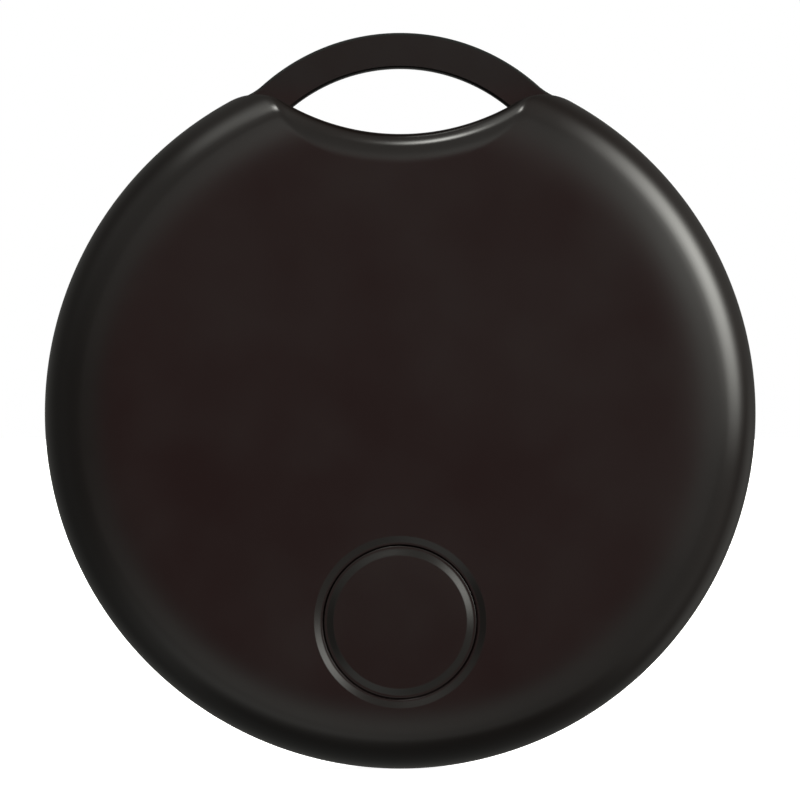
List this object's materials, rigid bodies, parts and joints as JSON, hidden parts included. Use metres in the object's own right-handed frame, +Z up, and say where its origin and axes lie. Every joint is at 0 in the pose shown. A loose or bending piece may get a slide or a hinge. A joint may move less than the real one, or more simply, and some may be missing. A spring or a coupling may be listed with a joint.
{
  "type": "bluetooth tracker tag",
  "caption": "Round key-finder tag with a flat keyring loop over a scalloped edge, a flush press button on its front and a removable rear cover over a coin cell.",
  "frame": {"origin": "on the axis of the round body, in the plane of its rear face", "axes": "+Y out of the rear face along the round body's axis, so the front with the button looks along -Y; +Z up towards the keyring loop; +X to the right seen from the front"},
  "size_m": [0.038, 0.0083, 0.0393],
  "materials": {
    "housing_plastic": "satin",
    "button_plastic": "satin",
    "silicone": "matte",
    "switch_plastic": "matte",
    "spring_steel": "satin",
    "board": "satin",
    "chip_black": "matte",
    "can_steel": "satin",
    "antenna_ceramic": "matte",
    "capacitor_ceramic": "matte",
    "ferrite": "matte",
    "brass": "satin",
    "piezo_ceramic": "matte",
    "foam": "matte",
    "gold_spring": "satin",
    "frame_plastic": "matte",
    "screw_steel": "satin",
    "cell_steel": "satin",
    "gasket_nylon": "matte",
    "electrodes": "matte"
  },
  "bodies": {
    "housing": {"front_housing": "housing_plastic", "battery_frame": "frame_plastic", "frame_screws": "screw_steel", "circuit_board": "board", "bluetooth_soc": "chip_black", "crystal_main": "can_steel", "crystal_clock": "can_steel", "chip_antenna": "antenna_ceramic", "smd_capacitors": "capacitor_ceramic", "smd_resistors": "chip_black", "inductors": "ferrite", "buzzer_brass_disc": "brass", "buzzer_ceramic_disc": "piezo_ceramic", "buzzer_foam_ring": "foam", "buzzer_spring_inner": "gold_spring", "buzzer_spring_outer": "gold_spring", "switch_base": "switch_plastic", "switch_dome": "spring_steel", "switch_cover": "spring_steel", "positive_contact": "gold_spring", "negative_contact": "gold_spring"},
    "button": {"button_cap": "button_plastic", "button_pad": "silicone"},
    "plunger": {"switch_plunger": "switch_plastic"},
    "cover": {"rear_cover": "housing_plastic", "cover_seal": "silicone", "cell_pad": "foam"},
    "cell": {"coin_cell_can": "cell_steel", "coin_cell_gasket": "gasket_nylon", "coin_cell_cap": "cell_steel", "coin_cell_electrodes": "electrodes"}
  },
  "joints": [
    {"name": "button_press", "type": "slide", "parent": "housing", "child": "button", "axis": [0, 1, 0], "range_m": [0, 0.0002], "stiffness_N_per_m": 6000, "springref_m": -0.00003},
    {"name": "plunger_press", "type": "slide", "parent": "housing", "child": "plunger", "axis": [0, 1, 0], "range_m": [0, 0.0002], "deforming": ["switch_dome"]},
    {"name": "rear_cover_release", "type": "slide", "parent": "housing", "child": "cover", "axis": [0, 1, 0], "range_m": [0, 0.014]},
    {"name": "coin_cell_lift", "type": "slide", "parent": "housing", "child": "cell", "axis": [0, 1, 0], "range_m": [0, 0.007]}
  ],
  "couplings": [
    {"joint": "plunger_press", "follows": "button_press", "ratio": 1},
    {"joint": "coin_cell_lift", "follows": "rear_cover_release", "ratio": 0.5}
  ]
}
